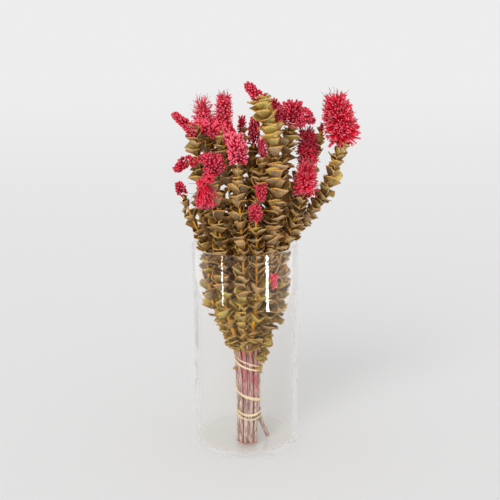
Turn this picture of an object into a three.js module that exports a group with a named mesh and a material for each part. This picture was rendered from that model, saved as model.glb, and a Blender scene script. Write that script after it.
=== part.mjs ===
// A tied bunch of dried paranomus standing in a clear glass cylinder vase.
// Millimetres, +Z up. The origin is the middle of the vase's underside, and the bunch's front faces -Y.
// Every sprig is a bare woody stem, a sleeve of stacked leaf pairs round its upper part, and a flower head.
// Leaves and flower heads are plain closed solids here, each kept inside its own share of the room.
import * as THREE from "three";

// ---- Vase ----
const VASE_DIAMETER = 125;
const VASE_HEIGHT = 250;
const GLASS_WALL = 3;
const GLASS_BASE = 6;
const FOOT_ROUNDING = 4;
const HEEL_FILLET = 5;
const VASE_SIDES = 32;

// ---- Stems ----
const STEM_DIAMETER = 5.2; // bare wood, from the cut end to the leaves
const STEM_TOP_DIAMETER = 3; // under the flower head
const STEM_GAP = 0.5; // between neighbouring stems in the tied bundle
const STEM_REST_GAP = 0.4; // cut ends over the glass they stand on
const STEM_SIDES = 6;
const STEM_STEP = 26; // height between two rings of a stem

// ---- Tie ----
const RAFFIA_WIDTH = 2.8;
const RAFFIA_THICKNESS = 0.8;
const RAFFIA_GAP = 1; // over the outermost stems
const SPLAY_DROP = 9; // a stem with a foot of its own leaves the bundle this far under the tie
const RAFFIA_STEPS = 96;

// ---- Leaves ----
const LEAF_REACH = 14; // from the stem's line to a leaf tip, where nothing is in the way
const LEAF_REACH_TOP = 9; // the youngest leaves, under the flower head
const YOUNG_LENGTH = 40; // over which the leaves shorten towards the head
const WHORL_PITCH = 22; // each whorl of the sleeve stands for a few leaf pairs
const LEAF_RISE = 0.78; // how far up its whorl a leaf tip stands
const LEAF_WALL = 0.9; // least thickness of the sleeve round its bore
const LEAST_ROOM = 5.5; // leaves start where the stems leave this much room
const NARROW_SIDE = 0.75; // reach across a leaf pair, against along it
const NOTCH_SHARE = 0.62; // how far out the sleeve is between two whorls, against the leaf tips
const SLEEVE_SIDES = 8;
const BORE_GAP = 0.7; // between a stem and its sleeve
const NECK_LENGTH = 7; // bare stem between the last leaves and the flower head

// ---- Room between pieces ----
const PIECE_GAP = 0.4;

// ---- How the bunch stands ----
const RAFFIA_TOP = 122; // above this the stems are free to spread
const BELLY_HEIGHT = 178;
const BELLY_SHARE = 0.84; // spread at the belly, against the spread at the rim
const LEAN_ROOM = 10.5; // between the glass and the stem of a sprig that leans on the rim
const DRAWN_LEAN = 49; // the lean radius that the sprig list below is drawn for

// The tie's heights at each quarter turn, starting at the left and going round by the front.
const RAFFIA_HEIGHTS = [
  117, 108, 99, 106, 111, 102, 94, 84, 75, 66, 58, 53, 49, 43, 45, 44.5, 44, 37, 39, 39,
];
const RAFFIA_START = Math.PI;

const innerRadius = VASE_DIAMETER / 2 - GLASS_WALL;
const splay = (innerRadius - LEAN_ROOM) / DRAWN_LEAN;
const stemPitch = STEM_DIAMETER + STEM_GAP;
const restHeight = GLASS_BASE + STEM_REST_GAP;
const raffiaBottom = Math.min(...RAFFIA_HEIGHTS) - RAFFIA_WIDTH / 2;

// The bundle's middle and its looseness, from the cut ends up to the top of the tie.
const bundle = [
  { z: restHeight, x: 1.5, y: -20, loose: 1 },
  { z: 45, x: 2.5, y: -18.5, loose: 1.03 },
  { z: 80, x: 2.5, y: -16.5, loose: 1.1 },
  { z: RAFFIA_TOP, x: 1.5, y: -13.5, loose: 1.22 },
];

// The sprigs, drawn by hand. slot is [ring, angle in degrees] in the bundle, rim is the place in the vase's
// mouth, via and top are further places with z above the rim, and cut is how far the stem was cut short.
// A head has its kind, its tip and its widest radius. Sprig 02 ends in leaves alone.
const sprigs = [
  { id: "01", slot: [2, 195], rim: [-48, -5], via: [[-61, -8, 32]], top: [-70, -10, 59], cut: 0,
    head: ["spike", [-77, -10, 79], 6] },
  { id: "02", slot: [2, 165], rim: [-42, 22], via: [], top: [-55, 20, 52], cut: 0 },
  { id: "03", slot: [1, 180], rim: [-31, 2], via: [[-50, 1, 90]], top: [-59, 0, 134], cut: 0,
    head: ["spike", [-76, 0, 150], 7] },
  { id: "04", slot: [2, 135], rim: [-26, 34], via: [[-38, 25, 90]], top: [-45, 20, 134], cut: 34,
    head: ["brush", [-48, 20, 169], 11] },
  { id: "05", slot: [1, 240], rim: [-12, -13], via: [[-20, -4, 90]], top: [-24, 0, 133], cut: 0,
    head: ["brush", [-21, 0, 177], 9] },
  { id: "06", slot: [2, 225], rim: [-27, -34], via: [[-30, -32, 50]], top: [-34, -26, 84], cut: 0,
    head: ["cluster", [-41, -24, 112], 13] },
  { id: "07", slot: [2, 255], rim: [-2, -45], via: [[-5, -38, 50]], top: [-6, -30, 98], cut: 0,
    head: ["cluster", [-8, -24, 136], 11] },
  { id: "08", slot: [2, 315], rim: [31, -34], via: [[37, -35, 70], [35, -30, 115]], top: [20, -25, 170], cut: 0,
    head: ["spike", [5, -25, 187], 7] },
  { id: "09", slot: [1, 0], rim: [28, -5], via: [[41, -6, 70]], top: [55, -5, 137], cut: 0,
    head: ["cluster", [59, -5, 169], 19] },
  { id: "10", slot: [1, 300], rim: [10, -22], via: [[16, -33, 60]], top: [22, -38, 107], cut: 0,
    head: ["cluster", [20, -40, 130], 7] },
  { id: "11", slot: [2, 285], rim: [14, -46], via: [], top: [13, -49, 38], cut: 0,
    head: ["cluster", [12, -54, 61], 9] },
  { id: "12", slot: [2, 15], rim: [49, -4], via: [[74, -5, 32], [92, -5, 60]], top: [115, -5, 121], cut: 38,
    head: ["brush", [101, -5, 178], 16] },
  { id: "13", slot: [2, 45], rim: [40, 25], via: [[66, 22, 56]], top: [90, 20, 126], cut: 42,
    head: ["cluster", [92, 20, 141], 7] },
  { id: "14", slot: [1, 60], rim: [33, 11], via: [[52, 8, 50]], top: [75, 5, 95], cut: 0,
    head: ["brush", [72, 5, 136], 10] },
  { id: "15", slot: [2, 345], rim: [44, -19], via: [[59, -26, 36]], top: [69, -29, 66], cut: 0, foot: [25, -8],
    head: ["brush", [71, -32, 104], 12] },
  { id: "16", slot: [2, 105], rim: [4, 38], via: [[8, 30, 50]], top: [12, 20, 112], cut: 30,
    head: ["spike", [13, 20, 144], 8] },
  { id: "17", slot: [1, 120], rim: [-14, 16], via: [[-9, 23, 50]], top: [-3, 32, 124], cut: 0,
    head: ["cluster", [-1, 32, 146], 8] },
  { id: "18", slot: [2, 75], rim: [22, 32], via: [[28, 29, 50]], top: [38, 20, 146], cut: 26,
    head: ["cluster", [36, 20, 166], 9] },
];

// Flower heads on short side shoots: where each starts and ends, z above the rim.
const sideHeads = [
  { id: "19", kind: "cluster", from: [-34, 9, 124], to: [-35, 10, 150], radius: 10 },
  { id: "20", kind: "spike", from: [-64, -4, 101], to: [-80, -5, 86], radius: 6 },
  { id: "21", kind: "brush", from: [-47, -28, 80], to: [-40, -41, 54], radius: 9 },
  { id: "22", kind: "spike", from: [20, -45, 62], to: [19, -47, 80], radius: 5.5 },
  { id: "23", kind: "spike", from: [33, -43, -46], to: [33, -43, -26], radius: 5 },
];

// Each head's outline as [share of its radius, share of its length], base to tip.
const HEAD_OUTLINES = {
  spike: [[0, 0], [0.55, 0.04], [1, 0.3], [0.9, 0.58], [0.55, 0.86], [0, 1]],
  brush: [[0, 0], [0.4, 0.03], [0.95, 0.22], [1, 0.5], [0.85, 0.8], [0.45, 0.96], [0, 1]],
  cluster: [[0, 0], [0.4, 0.04], [0.9, 0.34], [1, 0.6], [0.6, 0.9], [0, 1]],
};
const HEAD_SIDES = 8;
const HEAD_BUMP = 0.12; // buds stand out and fall back by this share of the radius

// ---- Finishes ----
const finish = (color, roughness, more = {}) => new THREE.MeshStandardMaterial({ color, roughness, ...more });
const finishes = {
  glass: finish(0xe8eeee, 0.05, { transparent: true, opacity: 0.3 }),
  bark: finish(0x9a6a58, 0.8),
  raffia: finish(0xe9cf9c, 0.7),
  leaf: finish(0x8b7443, 0.75),
  flower: finish(0xb81f3c, 0.7),
};

// ---- Helpers ----
// A smooth curve through knots {z, ...}, read at any height: a cubic between each two knots, whose slopes
// are the harmonic means of the straight runs on both sides, so that it never swings out past a knot.
function readAt(knots, z, key) {
  const last = knots.length - 1;
  const run = (i) => (knots[i + 1][key] - knots[i][key]) / (knots[i + 1].z - knots[i].z);
  const slope = (i) => {
    const before = run(Math.max(i - 1, 0));
    const after = run(Math.min(i, last - 1));
    return before * after <= 0 ? 0 : (2 * before * after) / (before + after);
  };
  let i = 0;
  while (i < last - 1 && z > knots[i + 1].z) i++;
  const span = knots[i + 1].z - knots[i].z;
  const t = (z - knots[i].z) / span;
  const rise = knots[i + 1][key] - knots[i][key];
  const a = slope(i) * span - rise;
  const b = rise - slope(i + 1) * span;
  return knots[i][key] + t * rise + t * (1 - t) * (a * (1 - t) + b * t);
}

// Moves every vertex of a geometry to where place(x, y, z) says.
function reshape(geometry, place) {
  const position = geometry.attributes.position;
  for (let i = 0; i < position.count; i++) {
    const p = place(position.getX(i), position.getY(i), position.getZ(i));
    position.setXYZ(i, p.x, p.y, p.z);
  }
  return geometry;
}

const UP = new THREE.Vector3(0, 0, 1);

// Two directions square to d, for rings round a line that runs along d.
function across(d) {
  const side = new THREE.Vector3(1, 0, 0).addScaledVector(d, -d.x).normalize();
  return [side, d.clone().cross(side)];
}

const drawn = ([x, y, z]) => new THREE.Vector3(x * splay, y * splay, VASE_HEIGHT + z);

// ---- Stem lines ----
function stemLine({ slot: [ring, degrees], rim, via, top, cut, foot }) {
  const angle = THREE.MathUtils.degToRad(degrees);
  const out = ring * stemPitch;
  const knots = bundle.map(({ z, x, y, loose }) => ({
    z,
    x: x + out * loose * Math.cos(angle),
    y: y + out * loose * Math.sin(angle),
  }));
  if (foot) {
    Object.assign(knots[0], { x: foot[0], y: foot[1] });
    knots.splice(1, 0, { ...knots[1], z: raffiaBottom - SPLAY_DROP });
  }
  const mouth = drawn([...rim, 0]);
  knots.push({ z: BELLY_HEIGHT, x: mouth.x * BELLY_SHARE, y: mouth.y * BELLY_SHARE });
  knots.push({ z: VASE_HEIGHT, x: mouth.x, y: mouth.y });
  for (const place of [...via, top]) {
    const p = drawn(place);
    knots.push({ z: p.z, x: p.x, y: p.y });
  }
  const from = restHeight + cut;
  const to = VASE_HEIGHT + top[2];
  const rings = ringHeights(from, to).map((z) => {
    return new THREE.Vector3(readAt(knots, z, "x"), readAt(knots, z, "y"), z);
  });
  // The stem runs straight from ring to ring, and whatever sits on it follows the same straight runs.
  const at = (z) => {
    const next = rings.findIndex((p, i) => i > 0 && (p.z >= z || i === rings.length - 1));
    const [a, b] = [rings[next - 1], rings[next]];
    return a.clone().lerp(b, (z - a.z) / (b.z - a.z));
  };
  return { at, from, to };
}

// Both ends, and the levels between them that all stems and sleeves share. One level is the tie's top,
// where the stems start to spread.
function ringHeights(from, to) {
  const heights = [from];
  const first = Math.ceil((from + 1 - RAFFIA_TOP) / STEM_STEP);
  for (let z = RAFFIA_TOP + first * STEM_STEP; z < to - 1; z += STEM_STEP) heights.push(z);
  return [...heights, to];
}

// Points every few millimetres along a line, for measuring the room round it.
const SAMPLE_STEP = 4;
function samples(at, from, to) {
  const count = Math.ceil((to - from) / SAMPLE_STEP);
  return Array.from({ length: count + 1 }, (_, i) => at(from + ((to - from) * i) / count));
}

const stems = sprigs.map((sprig) => ({ ...sprig, line: stemLine(sprig) }));
const heads = [
  ...stems.filter((s) => s.head).map(({ id, head: [kind, tip, radius], line }) => {
    return { id, owner: id, kind, radius, base: line.at(line.to), tip: drawn(tip) };
  }),
  ...sideHeads.map(({ id, kind, from, to, radius }) => {
    return { id, owner: "side" + id, kind, radius, base: drawn(from), tip: drawn(to) };
  }),
];
const lines = [
  ...stems.map(({ id, line }) => ({ owner: id, points: samples(line.at, line.from, line.to) })),
  ...heads.map(({ owner, base, tip }) => {
    const length = base.distanceTo(tip);
    return { owner, points: samples((d) => base.clone().lerp(tip, d / length), 0, length) };
  }),
];

// ---- Room round a point ----
// Two pieces that each stay within half the distance between their lines can't meet.
function roomAt(point, owner) {
  const r = Math.hypot(point.x, point.y);
  const inward = Math.max(innerRadius - r, 0, r - VASE_DIAMETER / 2);
  let room = Math.hypot(inward, Math.max(point.z - VASE_HEIGHT, 0));
  for (const line of lines) {
    if (line.owner === owner) continue;
    for (const p of line.points) room = Math.min(room, point.distanceTo(p) / 2);
  }
  return room - PIECE_GAP;
}

// ---- Sub-parts ----
function vase() {
  const outer = VASE_DIAMETER / 2;
  const rimRounding = GLASS_WALL / 2;
  const outline = new THREE.Path();
  outline.moveTo(0, 0).lineTo(outer - FOOT_ROUNDING, 0);
  outline.absarc(outer - FOOT_ROUNDING, FOOT_ROUNDING, FOOT_ROUNDING, -Math.PI / 2, 0, false);
  outline.absarc(outer - rimRounding, VASE_HEIGHT - rimRounding, rimRounding, 0, Math.PI, false);
  const heel = innerRadius - HEEL_FILLET;
  outline.absarc(heel, GLASS_BASE + HEEL_FILLET, HEEL_FILLET, 0, -Math.PI / 2, true);
  outline.lineTo(0, GLASS_BASE);
  const points = outline.getPoints(2);
  points[points.length - 1].x = 0;
  return new THREE.LatheGeometry(points, VASE_SIDES).rotateX(Math.PI / 2);
}

function stemRadius(z) {
  const start = RAFFIA_TOP;
  const share = THREE.MathUtils.smoothstep(z, start, VASE_HEIGHT);
  return THREE.MathUtils.lerp(STEM_DIAMETER, STEM_TOP_DIAMETER, share) / 2;
}

// A rod whose rings stay level while their middles follow the stem's line.
function stem({ at, from, to }) {
  const rings = ringHeights(from, to);
  const steps = rings.length - 1;
  const rod = new THREE.CylinderGeometry(1, 1, steps, STEM_SIDES, steps).rotateX(Math.PI / 2);
  return reshape(rod, (x, y, z) => {
    const height = rings[Math.round(z + steps / 2)];
    const radius = stemRadius(height);
    return at(height).add(new THREE.Vector3(x * radius, y * radius, 0));
  });
}

const boreRadius = (z) => (stemRadius(z) + BORE_GAP) / Math.cos(Math.PI / SLEEVE_SIDES);

// Where the leaves of a sprig start: the first height above the tie with room for them.
function leafStart({ at, from, to }, id) {
  let z = Math.max(from, RAFFIA_TOP + RAFFIA_WIDTH);
  while (z < to && roomAt(at(z), id) < LEAST_ROOM) z += SAMPLE_STEP / 2;
  return z;
}

// A sleeve of stacked cups round the stem. Each cup is wide along one leaf pair and narrow across it,
// and the next one is turned by a quarter.
function sleeve({ at, from, to }, id) {
  const start = leafStart({ at, from, to }, id);
  const end = to - NECK_LENGTH;
  const whorls = Math.max(2, Math.round((end - start) / WHORL_PITCH));
  const pitch = (end - start) / whorls;
  const BORE = 1;
  const NOTCH = 2;
  const TIP = 3;
  const outline = [];
  for (let k = 0; k < whorls; k++) {
    outline.push(new THREE.Vector2(NOTCH, k * pitch), new THREE.Vector2(TIP, (k + LEAF_RISE) * pitch));
  }
  outline.push(new THREE.Vector2(NOTCH, end - start));
  for (const z of ringHeights(start, end).reverse()) outline.push(new THREE.Vector2(BORE, z - start));
  outline.push(outline[0].clone());
  const blank = new THREE.LatheGeometry(outline, SLEEVE_SIDES).rotateX(Math.PI / 2);
  return reshape(blank, (x, y, z) => {
    const kind = Math.round(Math.hypot(x, y));
    const turn = Math.atan2(y, x);
    const height = start + z;
    const centre = at(height);
    const level = kind === BORE;
    const ahead = level ? UP : at(height + 1).sub(at(height - 1)).normalize();
    const [side, other] = across(ahead);
    const young = THREE.MathUtils.smoothstep(height, end - YOUNG_LENGTH, end);
    const natural = THREE.MathUtils.lerp(LEAF_REACH, LEAF_REACH_TOP, young);
    const reach = Math.min(natural, roomAt(centre, id));
    const bore = boreRadius(height);
    const least = bore + LEAF_WALL;
    const whorl = Math.floor((height - start) / pitch);
    const along = Math.cos(turn + (whorl * Math.PI) / 2) ** 2;
    const tip = reach * THREE.MathUtils.lerp(NARROW_SIDE, 1, along);
    const radius = { [BORE]: bore, [NOTCH]: Math.max(least, reach * NOTCH_SHARE), [TIP]: Math.max(least, tip) }[kind];
    return centre
      .addScaledVector(side, radius * Math.cos(turn))
      .addScaledVector(other, radius * Math.sin(turn));
  });
}

// A head stands on its own +Z, and add() puts it on its shoot.
function flowerHead({ kind, owner, radius, base, tip }) {
  const axis = tip.clone().sub(base);
  const span = axis.length();
  const ahead = axis.normalize();
  const seat = PIECE_GAP + (STEM_TOP_DIAMETER / 2) * Math.hypot(ahead.x, ahead.y);
  const outline = HEAD_OUTLINES[kind].map(([share, along]) => {
    const height = THREE.MathUtils.lerp(seat, span, along);
    const room = roomAt(base.clone().addScaledVector(ahead, height), owner);
    return new THREE.Vector2(share * Math.min(radius, room), height);
  });
  const blank = new THREE.LatheGeometry(outline, HEAD_SIDES).rotateX(Math.PI / 2);
  const ringStep = (2 * Math.PI) / HEAD_SIDES;
  return reshape(blank, (x, y, z) => {
    const ring = outline.findIndex((p) => Math.abs(p.y - z) < 1e-3);
    const bud = Math.round(Math.atan2(y, x) / ringStep);
    const turn = (bud + (ring % 2) / 2) * ringStep;
    const reach = Math.hypot(x, y) * (1 - HEAD_BUMP * (bud & 1));
    return new THREE.Vector3(reach * Math.cos(turn), reach * Math.sin(turn), z);
  });
}

// A straight strip, wound round the bundle from the left by the front, and down.
function raffia() {
  const turns = (RAFFIA_HEIGHTS.length - 1) / 4;
  const heights = RAFFIA_HEIGHTS.map((height, i) => ({ z: i / 4, height }));
  const strip = new THREE.BoxGeometry(turns, RAFFIA_WIDTH, RAFFIA_THICKNESS, RAFFIA_STEPS, 1, 1);
  return reshape(strip, (x, y, z) => {
    const turned = x + turns / 2;
    const height = readAt(heights, turned, "height");
    const angle = RAFFIA_START + turned * 2 * Math.PI;
    const loose = readAt(bundle, height, "loose");
    const inside = 2 * stemPitch * loose + STEM_DIAMETER / 2 + RAFFIA_GAP;
    const radius = inside + RAFFIA_THICKNESS / 2 + z;
    return new THREE.Vector3(
      readAt(bundle, height, "x") + radius * Math.cos(angle),
      readAt(bundle, height, "y") + radius * Math.sin(angle),
      height + y,
    );
  });
}

// ---- The bunch in its vase ----
const vaseWithBunch = new THREE.Group();
const bunch = new THREE.Group();
vaseWithBunch.add(bunch);

function add(parent, name, geometry, material) {
  const mesh = new THREE.Mesh(geometry, material);
  mesh.name = name;
  parent.add(mesh);
  return mesh;
}

add(vaseWithBunch, "vase", vase(), finishes.glass);
add(bunch, "raffia_tie", raffia(), finishes.raffia);
for (const { id, line } of stems) {
  const sprig = new THREE.Group();
  bunch.add(sprig);
  add(sprig, "stem_" + id, stem(line), finishes.bark);
  add(sprig, "leaves_" + id, sleeve(line, id), finishes.leaf);
}
for (const head of heads) {
  const mesh = add(bunch, "flower_head_" + head.id, flowerHead(head), finishes.flower);
  mesh.position.copy(head.base);
  mesh.quaternion.setFromUnitVectors(UP, head.tip.clone().sub(head.base).normalize());
}

export default vaseWithBunch;
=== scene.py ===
# %% [markdown]
# # A tied bunch of dried paranomus in a glass cylinder
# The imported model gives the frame: eighteen stems with a plain sleeve for the leaves of each, plain lumps for
# the flower heads, a strip of raffia and the vase. Everything here grows on those plain solids: a leaf knows
# its place from the stem's line, and a flower head from its lump, so nothing has to be fitted afterwards.

# %% Load the frame
import math
import random

import bmesh
import bpy
from mathutils import Matrix, Vector
from mathutils.kdtree import KDTree


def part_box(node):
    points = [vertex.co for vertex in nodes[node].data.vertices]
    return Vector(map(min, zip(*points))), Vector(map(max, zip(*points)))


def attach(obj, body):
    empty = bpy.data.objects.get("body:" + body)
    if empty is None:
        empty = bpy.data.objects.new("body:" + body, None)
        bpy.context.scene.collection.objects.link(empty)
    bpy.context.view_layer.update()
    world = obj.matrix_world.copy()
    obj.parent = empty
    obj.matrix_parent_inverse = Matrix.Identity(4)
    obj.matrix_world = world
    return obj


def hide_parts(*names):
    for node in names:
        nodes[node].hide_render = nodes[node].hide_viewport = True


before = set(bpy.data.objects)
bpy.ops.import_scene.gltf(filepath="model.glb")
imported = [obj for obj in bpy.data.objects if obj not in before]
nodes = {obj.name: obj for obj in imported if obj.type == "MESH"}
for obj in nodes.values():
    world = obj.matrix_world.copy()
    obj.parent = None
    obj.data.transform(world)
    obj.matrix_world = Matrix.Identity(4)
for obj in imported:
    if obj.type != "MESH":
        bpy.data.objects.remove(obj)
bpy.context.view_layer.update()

MM = 0.001
sprig_ids = [name[-2:] for name in sorted(nodes) if name.startswith("stem_")]
head_ids = [name[-2:] for name in sorted(nodes) if name.startswith("flower_head_")]
print(len(sprig_ids), "sprigs and", len(head_ids), "flower heads")

# %% [markdown]
# ## The camera
# The object stands on a table and is seen from the front, a little from above. A long lens from over a metre
# away keeps the glass cylinder's sides almost upright. The small roll is the camera's own tilt.

# %% Camera
EYE = Vector((6.2, -1160, 559.3)) * MM
PITCH_DOWN = math.radians(15.36)
ROLL = math.radians(-0.6)

camera_data = bpy.data.cameras.new("camera")
camera_data.sensor_width = 36
camera_data.lens = 73.4
camera = bpy.data.objects.new("camera", camera_data)
camera.matrix_world = (
    Matrix.Translation(EYE)
    @ Matrix.Rotation(math.pi / 2 - PITCH_DOWN, 4, "X")
    @ Matrix.Rotation(ROLL, 4, "Z")
)
bpy.context.scene.collection.objects.link(camera)
bpy.context.scene.camera = camera
print("camera", round(EYE.length, 3), "m from the vase's foot")

# %% [markdown]
# ## Helpers for meshes
# Every piece is made in a bmesh and then becomes an object at the origin. One helper does what all pieces
# need: smooth shading, the material, the body that the piece rides on, and the plain CAD solid it stands for.


# %% A finished piece
def finish_piece(name, bm, material, slot, *replaced):
    mesh = bpy.data.meshes.new(name)
    bm.to_mesh(mesh)
    bm.free()
    mesh.shade_smooth()
    mesh.materials.append(material)
    piece = bpy.data.objects.new(name, mesh)
    bpy.context.scene.collection.objects.link(piece)
    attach(piece, "root")
    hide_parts(*replaced)
    return piece


# %% Numbers between two others
def mix(a, b, share):
    return a + (b - a) * share


def ease(value, low, high):
    """0 below low, 1 above high, and smooth between."""
    share = min(max((value - low) / (high - low), 0), 1)
    return share * share * (3 - 2 * share)


# %% Two directions square to a third
def across(ahead):
    side = Vector((1, 0, 0))
    side = (side - ahead * side.dot(ahead)).normalized()
    return side, ahead.cross(side)


# %% [markdown]
# ## The lines of the stems
# A CAD stem is a rod with level rings, so the middle of each ring is a point of the stem's line. A smooth
# curve through these points takes the corners out. A list of close points is easier to use than a Blender
# curve, because leaves and buds have to ask for the place and the direction at any length.

# %% A line with a place and a direction at any length
CUTS = 6  # points of the smooth curve for each straight run of the CAD stem


def ring_middles(node):
    levels = {}
    for vertex in node.data.vertices:
        levels.setdefault(round(vertex.co.z, 5), []).append(vertex.co)
    middles = []
    for z, ring in sorted(levels.items()):
        xs = [p.x for p in ring]
        ys = [p.y for p in ring]
        middles.append(Vector(((min(xs) + max(xs)) / 2, (min(ys) + max(ys)) / 2, z)))
    return middles


def smooth_curve(points):
    padded = [2 * points[0] - points[1], *points, 2 * points[-1] - points[-2]]
    curve = []
    for a, b, c, d in zip(padded, padded[1:], padded[2:], padded[3:]):
        for k in range(CUTS):
            t = k / CUTS
            curve.append(
                0.5 * (2 * b + (c - a) * t + (2 * a - 5 * b + 4 * c - d) * t**2
                       + (3 * b - a - 3 * c + d) * t**3)
            )
    return [*curve, points[-1]]


class Line:
    """Close points in a row, read by the length from the first."""

    def __init__(self, points):
        self.points = points
        self.lengths = [0]
        for a, b in zip(points, points[1:]):
            self.lengths.append(self.lengths[-1] + (b - a).length)
        self.length = self.lengths[-1]

    def read(self, length):
        i = 0
        while i < len(self.points) - 2 and self.lengths[i + 1] < length:
            i += 1
        run = self.lengths[i + 1] - self.lengths[i]
        a, b = self.points[i], self.points[i + 1]
        return a.lerp(b, (length - self.lengths[i]) / run), (b - a).normalized()


SPLAYED = "15"  # the stem whose foot leans out of the bundle

stems = {}
for i in sprig_ids:
    middles = ring_middles(nodes["stem_" + i])
    if i == SPLAYED:
        middles = [p for p in middles if not 10 * MM < p.z < 36 * MM]
    stems[i] = Line(smooth_curve(middles))
print("stems", [round(stems[i].length, 3) for i in sprig_ids])


def at_height(line, z):
    for a, b in zip(line.points, line.points[1:]):
        if a.z <= z <= b.z:
            return a.lerp(b, (z - a.z) / (b.z - a.z))
    return None


# %% [markdown]
# ## Room between sprigs
# Neighbouring sprigs push their leaves aside. A k-d tree of all stem points finds the nearest other stem to a
# leaf tip quickly, and the leaf shrinks where it would grow through that stem.

# %% A tree of stem points
stem_points = [(p, i) for i in sprig_ids for p in stems[i].points]
tree = KDTree(len(stem_points))
for index, (point, _) in enumerate(stem_points):
    tree.insert(point, index)
tree.balance()

vase_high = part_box("vase")[1]
RIM_HEIGHT = vase_high.z
GLASS_RADIUS = vase_high.x
GLASS_WALL = 3 * MM
GLASS_BASE = 6 * MM


def clearance(point, own):
    """How far a point is from the nearest other stem, looking at the nearest few points."""
    for _, index, distance in tree.find_n(point, 24):
        if stem_points[index][1] != own:
            return distance
    return 30 * MM


print("rim at", round(RIM_HEIGHT, 3), "radius", round(GLASS_RADIUS, 4))

# %% [markdown]
# ## Materials
# A procedural material is a small chain of nodes. This helper starts one and hands back what the recipes
# below need, so that each recipe reads as a list of layers. Patterns use object coordinates, which are metres
# here because every object sits at the origin.


# %% A material to build on
MIX_A, MIX_B, MIX_RESULT = 6, 7, 2  # the colour sockets of the Mix node, whose names repeat


class Recipe:
    def __init__(self, name, roughness, specular=0.5):
        self.material = bpy.data.materials.new(name)
        self.material.use_nodes = True
        self.tree = self.material.node_tree
        self.shader = self.tree.nodes["Principled BSDF"]
        self.shader.inputs["Roughness"].default_value = roughness
        self.shader.inputs["Specular IOR Level"].default_value = specular
        self.coords = self.tree.nodes.new("ShaderNodeTexCoord").outputs["Object"]

    def join(self, value, socket):
        """Links an output to a socket, or sets a plain value on it."""
        if isinstance(value, bpy.types.NodeSocket):
            self.tree.links.new(value, socket)
        else:
            socket.default_value = value

    def attribute(self, name):
        node = self.tree.nodes.new("ShaderNodeAttribute")
        node.attribute_name = name
        return node.outputs["Fac"]

    def stretched(self, scale):
        node = self.tree.nodes.new("ShaderNodeMapping")
        self.join(self.coords, node.inputs["Vector"])
        node.inputs["Scale"].default_value = scale
        return node.outputs["Vector"]

    def noise(self, scale, detail=3, vector=None, roughness=0.6):
        node = self.tree.nodes.new("ShaderNodeTexNoise")
        self.join(vector or self.coords, node.inputs["Vector"])
        node.inputs["Scale"].default_value = scale
        node.inputs["Detail"].default_value = detail
        node.inputs["Roughness"].default_value = roughness
        return node.outputs["Fac"]

    def ramp(self, value, low, high):
        """0 below low and 1 above high."""
        node = self.tree.nodes.new("ShaderNodeMapRange")
        node.interpolation_type = "SMOOTHSTEP"
        self.join(value, node.inputs["Value"])
        node.inputs["From Min"].default_value = low
        node.inputs["From Max"].default_value = high
        return node.outputs["Result"]

    def maths(self, operation, a, b):
        node = self.tree.nodes.new("ShaderNodeMath")
        node.operation = operation
        self.join(a, node.inputs[0])
        self.join(b, node.inputs[1])
        return node.outputs["Value"]

    def blend(self, share, a, b):
        """A colour between a and b."""
        node = self.tree.nodes.new("ShaderNodeMix")
        node.data_type = "RGBA"
        self.join(share, node.inputs["Factor"])
        self.join(a, node.inputs[MIX_A])
        self.join(b, node.inputs[MIX_B])
        return node.outputs[MIX_RESULT]

    def place(self, axis):
        node = self.tree.nodes.new("ShaderNodeSeparateXYZ")
        self.join(self.coords, node.inputs[0])
        return node.outputs[axis]

    def colour(self, value):
        self.join(value, self.shader.inputs["Base Color"])

    def bump(self, value, distance, strength=1.0):
        node = self.tree.nodes.new("ShaderNodeBump")
        self.join(value, node.inputs["Height"])
        node.inputs["Distance"].default_value = distance
        node.inputs["Strength"].default_value = strength
        self.join(node.outputs["Normal"], self.shader.inputs["Normal"])

    def rough(self, value, low, high):
        node = self.tree.nodes.new("ShaderNodeMapRange")
        self.join(value, node.inputs["Value"])
        node.inputs["To Min"].default_value = low
        node.inputs["To Max"].default_value = high
        self.join(node.outputs["Result"], self.shader.inputs["Roughness"])


def srgb(red, green, blue):
    """A colour as a paint chart gives it, 0 to 255, for a shader."""
    return [*(((c / 255 + 0.055) / 1.055) ** 2.4 if c > 10 else c / 3294 for c in (red, green, blue)), 1]


# %% [markdown]
# ### Dried leaves
# A dried leaf is taupe and matt with a faint sheen, darker on its upper face, and it has a thin golden margin
# with a pinkish tip. Some leaves stay green. Attributes on the mesh say how near the margin a point is, which
# face it is on, how green its leaf is, and how dark it is, partly at random and partly as painted shade on
# leaves deep in the bundle. Painted shade also darkens each leaf towards its base. So one material serves
# every leaf.

# %% The leaf material
leaf = Recipe("dried_leaf", 0.62, 0.35)
mottle = leaf.noise(420, 5)
cloud = leaf.noise(70, 2)
back = leaf.blend(leaf.ramp(mottle, 0.3, 0.7), srgb(150, 114, 74), srgb(218, 188, 148))
face = leaf.blend(mottle, srgb(66, 40, 14), srgb(118, 82, 38))
dried = leaf.blend(leaf.ramp(leaf.attribute("upper"), 0.3, 0.7), back, face)
fresh = leaf.blend(mottle, srgb(160, 142, 40), srgb(232, 216, 112))
greenish = leaf.maths("MULTIPLY", leaf.ramp(cloud, 0.55, 0.75), 0.3)
green_share = leaf.maths("ADD", leaf.attribute("green"), greenish)
body = leaf.blend(green_share, dried, fresh)
# Painted shade: the attribute read here darkens leaves deep in the bundle, besides a random darkening.
body_with_painted_shade = leaf.blend(leaf.maths("MULTIPLY", leaf.attribute("tone_and_painted_light"), 0.8), body, srgb(60, 36, 14))
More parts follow.
